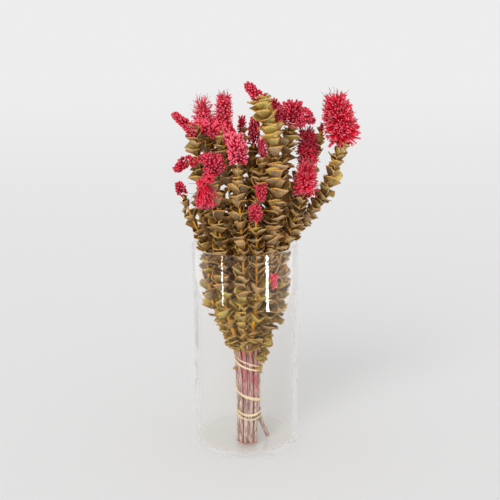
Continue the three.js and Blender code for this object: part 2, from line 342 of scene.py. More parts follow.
# Painted shade: each leaf is coloured darker towards its base by the stem.
shade = leaf.maths("MULTIPLY", leaf.ramp(leaf.attribute("point"), 0.3, -0.9), 0.75)
body_with_painted_shade = leaf.blend(shade, body_with_painted_shade, srgb(70, 42, 16))
veined = leaf.blend(leaf.maths("MULTIPLY", leaf.attribute("vein"), 0.4), body_with_painted_shade, srgb(226, 164, 76))
margin = leaf.blend(leaf.ramp(leaf.attribute("point"), 0.86, 1), srgb(255, 186, 72), srgb(226, 76, 72))
leaf.colour(leaf.blend(leaf.ramp(leaf.attribute("edge"), 0.9, 0.93), veined, margin))
leaf.bump(leaf.noise(700, 4), 0.35 * MM, 0.8)
leaf.rough(mottle, 0.5, 0.75)
print("leaf material has", len(leaf.tree.nodes), "nodes")

# %% [markdown]
# ### Bark, flowers and raffia
# The stems are grey-brown wood at the foot, stained red near the tie, and golden where the leaves grow. The
# buds go from deep crimson at the base to pink at the tip, and this pink is partly the tips' own colour and
# partly a painted highlight. Raffia is pale straw with fine fibres along it.

# %% The bark material
bark = Recipe("bark", 0.75, 0.3)
grain = bark.noise(1, 4, bark.stretched((900, 900, 90)))
patch = bark.noise(1, 4, bark.stretched((420, 420, 60)))
woody = bark.blend(bark.ramp(grain, 0.35, 0.65), srgb(112, 84, 68), srgb(238, 210, 198))
stain = bark.blend(bark.noise(1, 2, bark.stretched((160, 160, 14))), srgb(150, 30, 50), srgb(226, 96, 116))
red_share = bark.maths("MULTIPLY", bark.attribute("red"), bark.ramp(patch, 0.3, 0.6))
stained = bark.blend(red_share, woody, stain)
spotted = bark.blend(bark.maths("MULTIPLY", bark.ramp(patch, 0.58, 0.7), 0.8), stained, srgb(206, 92, 82))
golden = bark.blend(grain, srgb(222, 138, 16), srgb(255, 196, 56))
stem_colour = bark.blend(bark.ramp(bark.place("Z"), 0.112, 0.15), spotted, golden)
pith = bark.ramp(bark.attribute("cut"), 0.4, 0.6)
bark.colour(bark.blend(pith, stem_colour, srgb(206, 140, 120)))
bark.bump(grain, 0.5 * MM)

# %% The flower material
flower = Recipe("crimson_flower", 0.5, 0.22)
lit = flower.attribute("tip")
# The attribute read here is a random crimson, with painted light added on the threads of some heads.
deep = flower.blend(flower.attribute("tone_and_painted_light"), srgb(158, 8, 40), srgb(255, 28, 64))
pink = flower.blend(flower.attribute("tone_and_painted_light"), srgb(252, 124, 150), srgb(255, 108, 132))
# Pink towards the tips: partly the buds' own colour, partly a painted highlight.
crimson = flower.blend(flower.ramp(lit, 0.66, 1.2), deep, pink)
flower.colour(flower.blend(flower.attribute("pale"), crimson, srgb(150, 136, 128)))
flower.bump(flower.noise(1200, 2), 0.1 * MM, 0.5)

# %% The raffia material
raffia = Recipe("raffia", 0.6, 0.4)
fibre = raffia.noise(1, 3, raffia.stretched((350, 350, 2600)))
raffia.colour(raffia.blend(fibre, srgb(240, 206, 150), srgb(255, 244, 214)))
raffia.bump(fibre, 0.25 * MM)

# %% [markdown]
# ### Glass
# Clear glass bends and mirrors light, which the Principled shader does by itself. Lamps can't shine through
# such a surface in a reasonable time, so for shadow rays a transparent shader takes its place: the stems
# inside are lit as if the wall weren't there, and only the wall's own faint shadow is lost.

# %% The glass material
glass = Recipe("clear_glass", 0.0, 0.12)
glass.shader.inputs["Transmission Weight"].default_value = 1
glass.shader.inputs["IOR"].default_value = 1.25
glass.colour(srgb(254, 253, 252))
open_air = glass.tree.nodes.new("ShaderNodeBsdfTransparent")
open_air.inputs["Color"].default_value = srgb(252, 252, 251)
light_path = glass.tree.nodes.new("ShaderNodeLightPath")
surface = glass.shader.outputs["BSDF"]
for kind in ("Is Shadow Ray", "Is Diffuse Ray"):
    either = glass.tree.nodes.new("ShaderNodeMixShader")
    glass.join(light_path.outputs[kind], either.inputs["Fac"])
    glass.join(surface, either.inputs[1])
    glass.join(open_air.outputs["BSDF"], either.inputs[2])
    surface = either.outputs["Shader"]
glass.join(surface, glass.tree.nodes["Material Output"].inputs["Surface"])

# %% [markdown]
# ## The vase
# A cylinder vase is blown or pressed round one axis, so its section is drawn once and spun. The section runs
# from the middle of the underside, round the foot, up to the rounded rim, and down the inside.

# %% The section of the vase
FOOT_ROUNDING = 4 * MM
HEEL_FILLET = 5 * MM
GLASS_STEPS = 144


def arc(centre_x, centre_z, radius, start, end, steps=8):
    for k in range(steps + 1):
        angle = math.radians(mix(start, end, k / steps))
        yield Vector((centre_x + radius * math.cos(angle), 0, centre_z + radius * math.sin(angle)))


inner = GLASS_RADIUS - GLASS_WALL
section = [
    Vector((0, 0, 0)),
    *arc(GLASS_RADIUS - FOOT_ROUNDING, FOOT_ROUNDING, FOOT_ROUNDING, -90, 0),
    *arc(GLASS_RADIUS - GLASS_WALL / 2, RIM_HEIGHT - GLASS_WALL / 2, GLASS_WALL / 2, 0, 180),
    *arc(inner - HEEL_FILLET, GLASS_BASE + HEEL_FILLET, HEEL_FILLET, 0, -90),
    Vector((0, 0, GLASS_BASE)),
]

# %% Spin it
bm = bmesh.new()
corners = [bm.verts.new(p) for p in section]
edges = [bm.edges.new(pair) for pair in zip(corners, corners[1:])]
bmesh.ops.spin(
    bm, geom=corners + edges, cent=(0, 0, 0), axis=(0, 0, 1),
    angle=math.tau, steps=GLASS_STEPS, use_merge=True,
)
bmesh.ops.remove_doubles(bm, verts=bm.verts, dist=0.01 * MM)
bmesh.ops.recalc_face_normals(bm, faces=bm.faces)
vase = finish_piece("glass_vase", bm, glass.material, "glass", "vase")
print("vase has", len(vase.data.polygons), "faces")

# %% [markdown]
# ## Stems
# Each stem starts as a straight cone, cut into short rings, and is then bent along its line. It is a little
# thicker at each pair of leaves, and never quite round.

# %% A rod bent along a line
ROD_STEP = 4 * MM
ROD_SIDES = 8


def cut_rod(bm, length, rings, sides):
    """A straight rod of radius 1 along +Z, cut into short lengths."""
    bmesh.ops.create_cone(
        bm, cap_ends=True, segments=sides, radius1=1, radius2=1, depth=length,
        matrix=Matrix.Translation((0, 0, length / 2)),
    )
    upright = [e for e in bm.edges if abs(e.verts[0].co.z - e.verts[1].co.z) > length / 2]
    bmesh.ops.subdivide_edges(bm, edges=upright, cuts=rings - 1, use_grid_fill=True)


def bend(vertex, line, radius):
    place, ahead = line.read(vertex.co.z)
    side, other = across(ahead)
    return place + side * vertex.co.x * radius + other * vertex.co.y * radius


# %% The eighteen stems
STEM_RADIUS = 2.6 * MM
TWIG_RADIUS = 1.15 * MM
TIE_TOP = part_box("raffia_tie")[1].z

for i in sprig_ids:
    rng = random.Random("stem" + i)
    line = stems[i]
    bm = bmesh.new()
    cut_rod(bm, line.length, round(line.length / ROD_STEP), ROD_SIDES)
    cut_layer = bm.verts.layers.float.new("cut")
    red_layer = bm.verts.layers.float.new("red")
    phase = rng.uniform(0, math.tau)
    redness = rng.choice((0.05, 0.15, 0.35, 0.9))
    for v in bm.verts:
        z = v.co.z
        height = line.read(z)[0].z
        thin = ease(height, TIE_TOP, RIM_HEIGHT)
        knobbly = 1 + 0.07 * math.sin(z / (2.1 * MM) + phase) + 0.05 * math.sin(z / (5.3 * MM) + 2 * phase)
        lumpy = 1 + 0.06 * math.sin(3 * math.atan2(v.co.y, v.co.x) + phase + z / (30 * MM))
        v[cut_layer] = 1 if z < ROD_STEP / 2 else 0
        v[red_layer] = redness * ease(height, 0.03, 0.1)
        v.co = bend(v, line, mix(STEM_RADIUS, TWIG_RADIUS, thin) * knobbly * lumpy)
    finish_piece("woody_stem_" + i, bm, bark.material, "stem", "stem_" + i)
print("stems are", round(2 * STEM_RADIUS / MM, 1), "mm thick at the foot")

# %% [markdown]
# ## Leaves
# One leaf is broad and heart-shaped at its base, where it clasps the stem. It is folded along its midrib like
# a boat, and curled up at the tip. A flattened ball suits it: its halves are the leaf's two faces and its
# equator is the margin, closed and thin. Thousands of leaves need a light shape, so it has 48 faces, and four
# versions of it keep the sprigs from looking stamped. A fifth, nearly flat, serves the few open leaves.

# %% A shape with its edges and faces
def gather(verts):
    """The vertices, edges and faces of a shape, each once and in the same order at every run."""
    edges = dict.fromkeys(e for v in verts for e in v.link_edges)
    faces = dict.fromkeys(f for v in verts for f in v.link_faces)
    return [*verts, *edges, *faces]


# %% The shape of a leaf
LEAF_SPOKES = 12
LEAF_RINGS = 4
LEAF_THICKNESS = 0.35 * MM
FOLD_SOFTNESS = 1.5 * MM


def leaf_shape(bm, width, length, fold, opening, curl, ripple, phase):
    """A leaf that starts at the origin and runs along +Y, with its upper face up."""
    made = bmesh.ops.create_uvsphere(bm, u_segments=LEAF_SPOKES, v_segments=LEAF_RINGS, radius=1)["verts"]
    edge = bm.verts.layers.float["edge"]
    upper = bm.verts.layers.float["upper"]
    vein = bm.verts.layers.float["vein"]
    point = bm.verts.layers.float["point"]
    for v in made:
        x, y, z = v.co
        reach = math.hypot(x, y)
        v[edge] = reach
        v[upper] = 0.5 + 0.5 * z
        v[vein] = 1 if abs(x) < 0.01 else 0
        v[point] = y
        half = width / 2 * x * (1 + 0.1 * y - 0.35 * max(y, 0) ** 3) * (0.86 + 0.14 * x**6)
        out = length * ((1 + y) / 2 + 0.07 * max(y, 0) ** 8)
        slope = math.atan(fold * (1 - opening * (1 + y) / 2))
        rise = math.sin(slope) * (math.hypot(half, FOLD_SOFTNESS) - FOLD_SOFTNESS)
        half *= math.cos(slope)
        rise += curl * length * ((1 + y) / 2) ** 2
        rise += ripple * width * reach**2 * math.sin(3 * math.atan2(y, x) + phase)
        v.co = (half, out, rise + z * LEAF_THICKNESS)
    return made


LEAF_KINDS = [  # the last one is open and flat
    dict(width=27 * MM, length=17 * MM, fold=1.1, opening=0.7, curl=0.16, ripple=0.02, phase=0.3),
    dict(width=28 * MM, length=18 * MM, fold=1.3, opening=0.3, curl=0.22, ripple=0.035, phase=1.7),
    dict(width=25 * MM, length=17 * MM, fold=0.9, opening=0.9, curl=0.1, ripple=0.05, phase=3.1),
    dict(width=26 * MM, length=16 * MM, fold=1.2, opening=0.1, curl=0.3, ripple=0.04, phase=4.6),
    dict(width=22 * MM, length=19 * MM, fold=0.2, opening=0.5, curl=0.04, ripple=0.01, phase=0.3),
]


# %% [markdown]
# Pairs of leaves sit on the stem, each pair turned a quarter against the one below. Young leaves near the top
# are small, steep and close together. Old leaves near the tie are greener and further apart.

# %% Place one leaf
LAYERS = ("edge", "upper", "vein", "point", "green", "tone_and_painted_light")
LEAF_PITCH = 7.6 * MM
YOUNG_LENGTH = 26 * MM
FOLIAGE_START = 118 * MM


def turned(place, along, face):
    """The matrix that puts a shape's origin at place, its +Y along along and its +Z towards face."""
    side = along.cross(face).normalized()
    face = side.cross(along).normalized()
    return Matrix.Translation(place) @ Matrix((side, along, face)).transposed().to_4x4()


WALL_GAP = 2.5 * MM  # how far from the glass a leaf begins to be pressed in
PRESSED = 0.08  # what is left of the length that would pass the gap


def add_leaf(bm, kinds, place, outward, ahead, lean, size, rng, green, tone_and_painted_light):
    along = outward * math.sin(lean) + ahead * math.cos(lean)
    face = ahead * math.sin(lean) - outward * math.cos(lean)
    copied = bmesh.ops.duplicate(bm, geom=rng.choice(kinds))["geom"]
    verts = [g for g in copied if isinstance(g, bmesh.types.BMVert)]
    face = (face + along.cross(face) * rng.uniform(-0.28, 0.28)).normalized()
    matrix = turned(place - along * 1.2 * MM, along, face)
    matrix = matrix @ Matrix.Diagonal((size * rng.uniform(0.92, 1.08), size, size, 1))
    bmesh.ops.transform(bm, matrix=matrix, verts=verts)
    wall = inner - WALL_GAP
    for v in verts:
        reach = math.hypot(v.co.x, v.co.y)
        if v.co.z < RIM_HEIGHT + 5 * MM and reach > wall:
            pressed = (wall + PRESSED * (reach - wall)) / reach
            v.co.x *= pressed
            v.co.y *= pressed
        v[bm.verts.layers.float["green"]] = green
        v[bm.verts.layers.float["tone_and_painted_light"]] = tone_and_painted_light


# %% [markdown]
# Leaves deep in the bundle, or facing into it, are given painted shade: they are coloured darker. They are
# known by their distance from the middle of all stems at their height.

# %% The middle of the bundle
MIDDLE_STEP = 4 * MM
bundle_middles = {}


def bundle_middle(z):
    step = round(z / MIDDLE_STEP)
    if step not in bundle_middles:
        places = [p for p in (at_height(line, step * MIDDLE_STEP) for line in stems.values()) if p]
        bundle_middles[step] = sum(places, Vector()) / max(len(places), 1)
    return bundle_middles[step]


# %% The leaves of one sprig
TOP_SIZE = {"08": 0.95, "12": 0.9, "04": 0.85, "05": 0.8, "03": 0.85, "09": 0.85}  # leaves under the head
LEAF_SIZE = {"12": 0.88, "08": 1.2, "01": 0.9, "03": 1.1, "04": 1.2, "05": 1.1}  # all leaves of a sprig
SPACING = {"08": 0.62, "01": 1.25, "12": 0.72}  # below 1 the pairs sit closer
GREYER = ("03", "04", "12", "13", "17", "18")  # sprigs with more faded leaves
GOLD_ABOVE = {"08": 0.36}  # sprigs that stay yellow-green above this height
FACING = {"05": 0.1, "06": 0.5, "07": 0.05, "08": 0.75, "11": 0.2, "12": 0.1}  # turn of the first pair
FULL_TO_THE_TOP = "08"  # the sprig whose leaves stay full up to its head
OLD_ZONE = (0.13, 0.19)  # the height over which leaves stop being old
GLASS_ZONE = (0.21, 0.25)  # the height over which leaves leave the vase
PAINTED_SHADE_BELOW = 0.36  # leaves in the bundle get painted shade up to here
FADED_ABOVE = 0.3  # the faded sprigs are greyer from here
LEAF_REACH = 15 * MM
FALLEN = 0.08  # share of leaves that are missing
YOUNG_SHOOTS = 0.4  # share of pairs with small leaves beside them


def leaf_up(bm, kinds, i):
    line = stems[i]
    rng = random.Random("leaves" + i)
    turn = FACING.get(i, rng.uniform(0, math.pi / 2))
    length = 0
    while line.read(length)[0].z < FOLIAGE_START:
        length += ROD_STEP
    length += rng.uniform(0, 12) * MM
    pairs = 0
    while length < line.length - 1 * MM:
        place, ahead = line.read(length)
        side, other = across(ahead)
        left = line.length - length
        young = 0 if i == FULL_TO_THE_TOP else 1 - ease(left, 0, YOUNG_LENGTH)
        old = 1 - ease(place.z, *OLD_ZONE)
        inside = 1 - ease(place.z, *GLASS_ZONE)
        size = mix(1, TOP_SIZE.get(i, 0.62), young) * mix(1, 1.18, inside) * mix(1, 0.85, old)
        size *= LEAF_SIZE.get(i, 1) * mix(0.55, 1, ease(left, 1 * MM, 10 * MM))
        lean = math.radians(mix(60, 46, young) + rng.uniform(-9, 9))
        middle = bundle_middle(place.z)
        depth = (place - middle).xy
        for half_turn in (0, math.pi):
            if rng.random() < FALLEN:
                continue
            angle = turn + half_turn + rng.uniform(-0.25, 0.25)
            outward = side * math.cos(angle) + other * math.sin(angle)
            tip = place + (outward * math.sin(lean) + ahead * math.cos(lean)) * LEAF_REACH * size
            room = clearance(tip, i)
            leaf_size = size * min(1, max(0.5, room / (8 * MM))) * rng.uniform(0.78, 1.12)
            if tip.z < RIM_HEIGHT + 3 * MM and math.hypot(tip.x, tip.y) > inner - 2 * MM:
                over = math.hypot(tip.x, tip.y) - (inner - 2 * MM)
                leaf_size *= max(0.35, 1 - over / (12 * MM))
            low = ease(0.215 - place.z, 0, 0.05)
            greener = rng.random() < mix(0.07, 0.9, low) or rng.random() < 0.2 * young
            green = rng.uniform(0.6, 1) if greener else rng.uniform(0, 0.25)
            tone_and_painted_light = rng.uniform(0, 0.8) ** 2
            # Painted shade: leaves deep in the bundle or facing into it are coloured darker, up to a set
            # height.
            hidden = depth.length < 14 * MM or outward.xy.dot(depth.normalized()) < -0.25
            if hidden and place.z < PAINTED_SHADE_BELOW:
                tone_and_painted_light = mix(0.05, 1, ease(place.z, 0.2, 0.27))
            if i in GREYER and place.z > FADED_ABOVE:
                green = rng.uniform(0.15, 0.7)
            if place.z > GOLD_ABOVE.get(i, 1):
                green, tone_and_painted_light = rng.uniform(0.5, 0.9), 0
            add_leaf(bm, kinds, place, outward, ahead, lean + rng.uniform(-0.15, 0.15), leaf_size, rng,
                     green, tone_and_painted_light)
        if rng.random() < YOUNG_SHOOTS:
            angle = turn + rng.uniform(0, math.tau)
            outward = side * math.cos(angle) + other * math.sin(angle)
            place += outward * rng.uniform(3, 6) * MM + ahead * 3 * MM
            if math.hypot(place.x, place.y) < inner - 6 * MM or place.z > RIM_HEIGHT + 3 * MM:
                for way in (outward, -outward):
                    add_leaf(bm, kinds, place, way, ahead, math.radians(50), rng.uniform(0.3, 0.5), rng,
                             rng.uniform(0, 0.8), rng.uniform(0, 0.8))
        pairs += 1
        turn += math.pi / 2 + rng.uniform(-0.08, 0.08)
        crowding = mix(1, 0.7, young) * mix(1, 1.15, inside) * mix(1, 0.85, old)
        length += LEAF_PITCH * SPACING.get(i, 1) * crowding
        length += rng.uniform(-0.7, 0.7) * MM
    return pairs


# %% [markdown]
# Some leaves sit at the tie or stand out by themselves, open and green. Each grows on the stem that reaches
# furthest in its direction, so it is always on the outside of the bundle.

# %% Leaves with a place of their own
OPEN_LEAVES = [  # direction of the stem, height, way out, way the upper face looks, size
    (0, 329, (1, -0.3, 0.1), (-0.1, -1, 0.3), 0.78),
    (-95, 181, (-0.15, -0.75, 0.7), (0.1, -1, 0.35), 0.72),
    (-60, 193, (0.4, -0.7, 0.8), (0, -1, 0.3), 0.58),
    (-170, 176, (-1, -0.2, 0.3), (-0.2, -1, 0.4), 0.7),
]
LOW_LEAVES = [  # direction in degrees, height in millimetres, size, lean
    (-22, 121, 0.85, 75), (-48, 116, 0.8, 100), (-12, 108, 0.75, 105), (-35, 101, 0.6, 120),
    (-75, 124, 0.9, 80), (-110, 126, 0.85, 70), (-140, 123, 0.8, 75), (176, 121, 0.7, 80),
    (186, 95, 0.42, 80), (20, 118, 0.8, 85), (60, 122, 0.8, 75), (110, 120, 0.8, 80), (-5, 93, 0.4, 110),
    (-25, 126, 1.0, 95), (-40, 112, 0.8, 110), (-15, 116, 0.9, 90),
    (-60, 132, 1.0, 75), (-100, 136, 1.0, 65), (-125, 131, 0.9, 85), (-30, 130, 0.9, 80),
    (-80, 142, 1.0, 60), (-15, 138, 0.9, 75), (-150, 139, 0.9, 75),
]


def outermost(z, direction):
    best = None
    for i, line in stems.items():
        place = at_height(line, z)
        if place and (best is None or place.dot(direction) > best[1]):
            best = i, place.dot(direction), place
    return best[0], best[2]


def level(degrees):
    angle = math.radians(degrees)
    return Vector((math.cos(angle), math.sin(angle), 0))


def own_leaves(bm, kinds, i):
    rng = random.Random("own" + i)
    up = Vector((0, 0, 1))
    for degrees, z, size, lean in LOW_LEAVES:
        owner, place = outermost(z * MM, level(degrees))
        if owner == i:
            add_leaf(bm, kinds[:-1], place, level(degrees), up, math.radians(lean), size, rng,
                     rng.uniform(0.5, 1), rng.uniform(0, 0.4))
    for degrees, z, out, face, size in OPEN_LEAVES:
        owner, place = outermost(z * MM, level(degrees))
        if owner == i:
            out, face = Vector(out).normalized(), Vector(face).normalized()
            add_leaf(bm, kinds[-1:], place, out, face, math.pi / 2, size, rng, 1, 0)


# %% Leaf up all sprigs
pair_count = 0
for i in sprig_ids:
    bm = bmesh.new()
    for layer in LAYERS:
        bm.verts.layers.float.new(layer)
    patterns = [gather(leaf_shape(bm, **kind)) for kind in LEAF_KINDS]
    pattern_verts = list(bm.verts)
    pair_count += leaf_up(bm, patterns[:-1], i)
    own_leaves(bm, patterns, i)
    bmesh.ops.delete(bm, geom=pattern_verts, context="VERTS")
    finish_piece("leaf_pairs_" + i, bm, leaf.material, "leaves", "leaves_" + i)
print(pair_count, "pairs of leaves")

# %% [markdown]
# ## Flower heads
# A head is one of four kinds. A spike is packed with small closed buds. A cluster is a ball of longer,
# club-shaped buds that stand apart. A brush has opened: a dense coat of thin filaments hides its core, with
# some buds left at its foot. A tassel's threads hang together. All share one plan: shapes placed round an
# axis by the golden angle.

# %% The axis and the size of a head
GOLDEN_ANGLE = math.pi * (3 - math.sqrt(5))


def head_axis(i):
    """The base, the direction, the length and the radius of a head's CAD lump."""
    points = [v.co for v in nodes["flower_head_" + i].data.vertices]
    a, b = max(((p, q) for p in points for q in points), key=lambda pair: (pair[0] - pair[1]).length)
    near_a = tree.find(a)[2]
    near_b = tree.find(b)[2]
    base, tip = (a, b) if near_a < near_b else (b, a)
    ahead = (tip - base).normalized()
    radius = max(((p - base) - ahead * (p - base).dot(ahead)).length for p in points)
    return base.copy(), ahead, (tip - base).length, radius


# %% A bud and a filament
def bud_shape(bm, slender):
    """A club-shaped bud along +Y, of length 1."""
    made = bmesh.ops.create_uvsphere(bm, u_segments=7, v_segments=6, radius=0.5)["verts"]
    tip = bm.verts.layers.float["tip"]
    for v in made:
        along = v.co.z + 0.5
        narrow = slender * mix(0.55, 1.15, along)
        v[tip] = along
        v.co = (v.co.x * narrow, along, v.co.y * narrow)
    return made


FILAMENT_RINGS = [(0, 0), (0.02, 0.8), (0.35, 1), (0.68, 0.95), (0.9, 0.8), (0.97, 1.3), (1, 0)]


def filament_shape(bm, thick, sag):
    """A thin curved filament along +Y, of length 1, with a small knob at its end.

    Each ring of the ball goes to its own length and width, so the ball is drawn out into a thread."""
    made = bmesh.ops.create_uvsphere(bm, u_segments=3, v_segments=6, radius=1)["verts"]
    tip = bm.verts.layers.float["tip"]
    for v in made:
        ring = round(math.acos(max(-1, min(1, -v.co.z))) / (math.pi / 6))
        along, width = FILAMENT_RINGS[ring]
        around = math.atan2(v.co.y, v.co.x)
        v[tip] = along
        v.co = (
            thick * width * math.cos(around),
            along,
            thick * width * math.sin(around) + sag * along**2,
        )
    return made


# %% Place shapes round an axis
def add_copy(bm, pattern, matrix, tone_and_painted_light):
    copied = bmesh.ops.duplicate(bm, geom=pattern)["geom"]
    verts = [g for g in copied if isinstance(g, bmesh.types.BMVert)]
    bmesh.ops.transform(bm, matrix=matrix, verts=verts)
    for v in verts:
        v[bm.verts.layers.float["tone_and_painted_light"]] = tone_and_painted_light


def coat(bm, patterns, rng, head, count, start, end, core, lean, size, width=1.0, loose=12):
    """Places count copies round the axis, from share start to share end of its length.

    core is how far out each begins, lean its angle to the axis, and size its length, all by share."""
    base, ahead, length, _ = head
    side, other = across(ahead)
    for k in range(count):
        share = mix(start, end, (k + 0.5) / count)
        angle = k * GOLDEN_ANGLE + rng.uniform(-0.2, 0.2)
        outward = side * math.cos(angle) + other * math.sin(angle)
        tilt = math.radians(lean(share) + rng.uniform(-loose, loose))
        along = outward * math.sin(tilt) + ahead * math.cos(tilt)
        place = base + ahead * share * length + outward * core(share)
        grown = size(share) * rng.uniform(0.8, 1.15)
        spin = Matrix.Rotation(rng.uniform(0, math.tau), 4, "Y")
        matrix = turned(place, along, ahead if abs(along.dot(ahead)) < 0.98 else outward)
        matrix = matrix @ spin @ Matrix.Diagonal((grown * width, grown, grown * width, 1))
        add_copy(bm, rng.choice(patterns), matrix, rng.random())


# %% The kinds of head
def spike(bm, shapes, rng, head):
    _, _, length, radius = head
    bud = 5.2 * MM
    coat(bm, shapes["fat"], rng, head, round(length / (0.3 * MM)), 0, 0.93,
         lambda s: (radius - bud * 0.6) * mix(1, 0.4, s**2), lambda s: mix(70, 22, s), lambda s: bud, 0.9)


def cluster(bm, shapes, rng, head):
    _, _, length, radius = head
    bud = min(8.5 * MM, radius * 0.8)
    coat(bm, shapes["club"], rng, head, round(length * radius / 2.6e-6), 0.05, 0.85,
         lambda s: max(radius - bud, 1 * MM) * math.sin(math.pi * mix(0.3, 0.85, s)),
         lambda s: mix(110, 8, s), lambda s: bud * mix(0.8, 1, s))


def brush(bm, shapes, rng, head, share=0.4, fill=1.0, hairs=0.14):
    _, _, length, radius = head
    core = radius * 0.4
    threads = round(fill * length * radius / 1.55e-6)
    coat(bm, shapes["fat"], rng, head, round(length / (0.4 * MM)), 0, share,
         lambda s: core * 0.9, lambda s: mix(85, 50, s), lambda s: 5.2 * MM)
    coat(bm, shapes["thread"], rng, head, threads, 0.02, 0.88,
         lambda s: core * mix(1, 0.5, s**3), lambda s: mix(118, 26, s**0.7),
         lambda s: (radius - core) * mix(1.35, 1.05, s), 1.0, 28)
    coat(bm, shapes["hair"], rng, head, round(threads * hairs), 0.2, 0.9,
         lambda s: core * mix(1, 0.5, s**3), lambda s: mix(85, 8, s),
         lambda s: (radius - core) * 1.6)


def sparse_brush(bm, shapes, rng, head):
    brush(bm, shapes, rng, head, share=0.5, fill=0.45, hairs=0.4)


def full_brush(bm, shapes, rng, head):
    brush(bm, shapes, rng, head, share=0.85, fill=0.8, hairs=0.3)


def tassel(bm, shapes, rng, head):
    _, _, length, radius = head
    coat(bm, shapes["fat"], rng, head, 45, -0.1, 0.3, lambda s: 2.5 * MM, lambda s: 80, lambda s: 5 * MM)
    coat(bm, shapes["thread"], rng, head, 130, 0.0, 0.45, lambda s: 2.5 * MM, lambda s: mix(28, 8, s),
         lambda s: length * 0.75, 0.6, 16)
    coat(bm, shapes["hair"], rng, head, 30, 0.0, 0.5, lambda s: 2 * MM, lambda s: 60, lambda s: length * 0.7)


def ball(bm, shapes, rng, centre, radius):
    """A small loose knot of buds."""
    bud = min(4.8 * MM, radius * 0.65)
    count = round(4 * math.pi * (radius - bud / 2) ** 2 / (bud * 0.5) ** 2)
    for k in range(count):
        rise = 1 - 2 * (k + 0.5) / count
        out = math.sqrt(1 - rise**2)
        along = Vector((out * math.cos(k * GOLDEN_ANGLE), out * math.sin(k * GOLDEN_ANGLE), rise))
        along = (along + Vector([rng.uniform(-0.5, 0.5) for _ in range(3)])).normalized()
        face = Vector((0, 0, 1)) if abs(along.z) < 0.9 else Vector((1, 0, 0))
        grown = bud * rng.uniform(0.75, 1.2)
        reach = (radius - bud) * rng.uniform(0.7, 1.25)
        matrix = turned(centre + along * reach, along, face) @ Matrix.Diagonal((grown,) * 3 + (1,))
        add_copy(bm, rng.choice(shapes["fat"]), matrix, rng.random())


# %% [markdown]
# The plain lumps leave little room beside their neighbours, so the real heads are given as much wider than
# their lump, and some also carry round knots of buds around them. On the left these knots join four heads
# into one crimson band.

# %% The heads one by one
HEADS = {  # kind, how much wider and longer than its lump, and knots (across, back, up, radius) in mm
    "01": (spike, 0.95, 0.7, ()),
    "03": (spike, 0.75, 1.15, ((5, -2, -7, 5), (9, -3, -11, 7))),
    "04": (sparse_brush, 1.45, 0.95, ((-4, -8, -13, 8), (5, -9, -15, 8))),
    "05": (full_brush, 1.3, 0.98, ((-4, -4, -16, 8), (4, -6, -18, 8), (8, -6, -24, 7))),
    "06": (cluster, 1.0, 0.9, ((-9, 0, 6, 6), (9, -2, 6, 7), (0, -3, -9, 7), (12, 0, -3, 6),
                               (-5, -4, -14, 6))),
    "07": (cluster, 1.2, 0.9, ((-8, 2, 12, 7), (-4, -2, -9, 7), (6, -2, 2, 6))),
    "08": (spike, 0.9, 1.02, ()),
    "09": (cluster, 1.15, 0.85, ((-17, 0, -3, 8), (-12, -3, 6, 7), (14, -2, -2, 8), (19, 0, -8, 7),
                                 (8, -4, -9, 8))),
    "10": (cluster, 1.0, 1.0, ()),
    "11": (cluster, 1.15, 0.75, ((-3, -1, 3, 5), (4, -1, -3, 5))),
    "12": (brush, 1.1, 0.88, ()),
    "13": (cluster, 0.65, 0.7, ()),
    "14": (brush, 1.2, 0.95, ((4, 0, 8, 6), (-5, 0, -6, 7))),
    "15": (brush, 1.0, 0.9, ()),
    "16": (spike, 0.9, 1.0, ()),
    "17": (cluster, 0.9, 0.9, ()),
    "18": (cluster, 0.9, 0.9, ()),
    "19": (cluster, 0.95, 0.9, ((-9, -3, -4, 7), (1, -10, -7, 8), (10, -12, -8, 8), (19, -18, -14, 8),
                               (24, -22, -22, 7))),
    "20": (spike, 1.0, 0.8, ((9, 0, 8, 5), (15, -4, 5, 6))),
    "21": (tassel, 1.0, 0.95, ((-3, 0, 13, 6), (5, -4, 18, 6))),
    "22": (spike, 1.1, 1.0, ()),
    "23": (spike, 0.6, 0.75, ()),
}

PINKER = {"04": 0.5, "07": 0.25, "12": 0.04, "15": 0.06, "14": -0.1, "05": 0.12}  # heads with paler tips, the pink partly a painted highlight

DEEPER = {"14": 1, "07": 1, "10": 0.5, "16": 0.6}  # how much of the lightest crimson they reach
BRIGHTER = {"12": 0.45, "15": 0.35, "04": 0.3, "05": 0.2, "21": 0.2}  # heads with lit threads

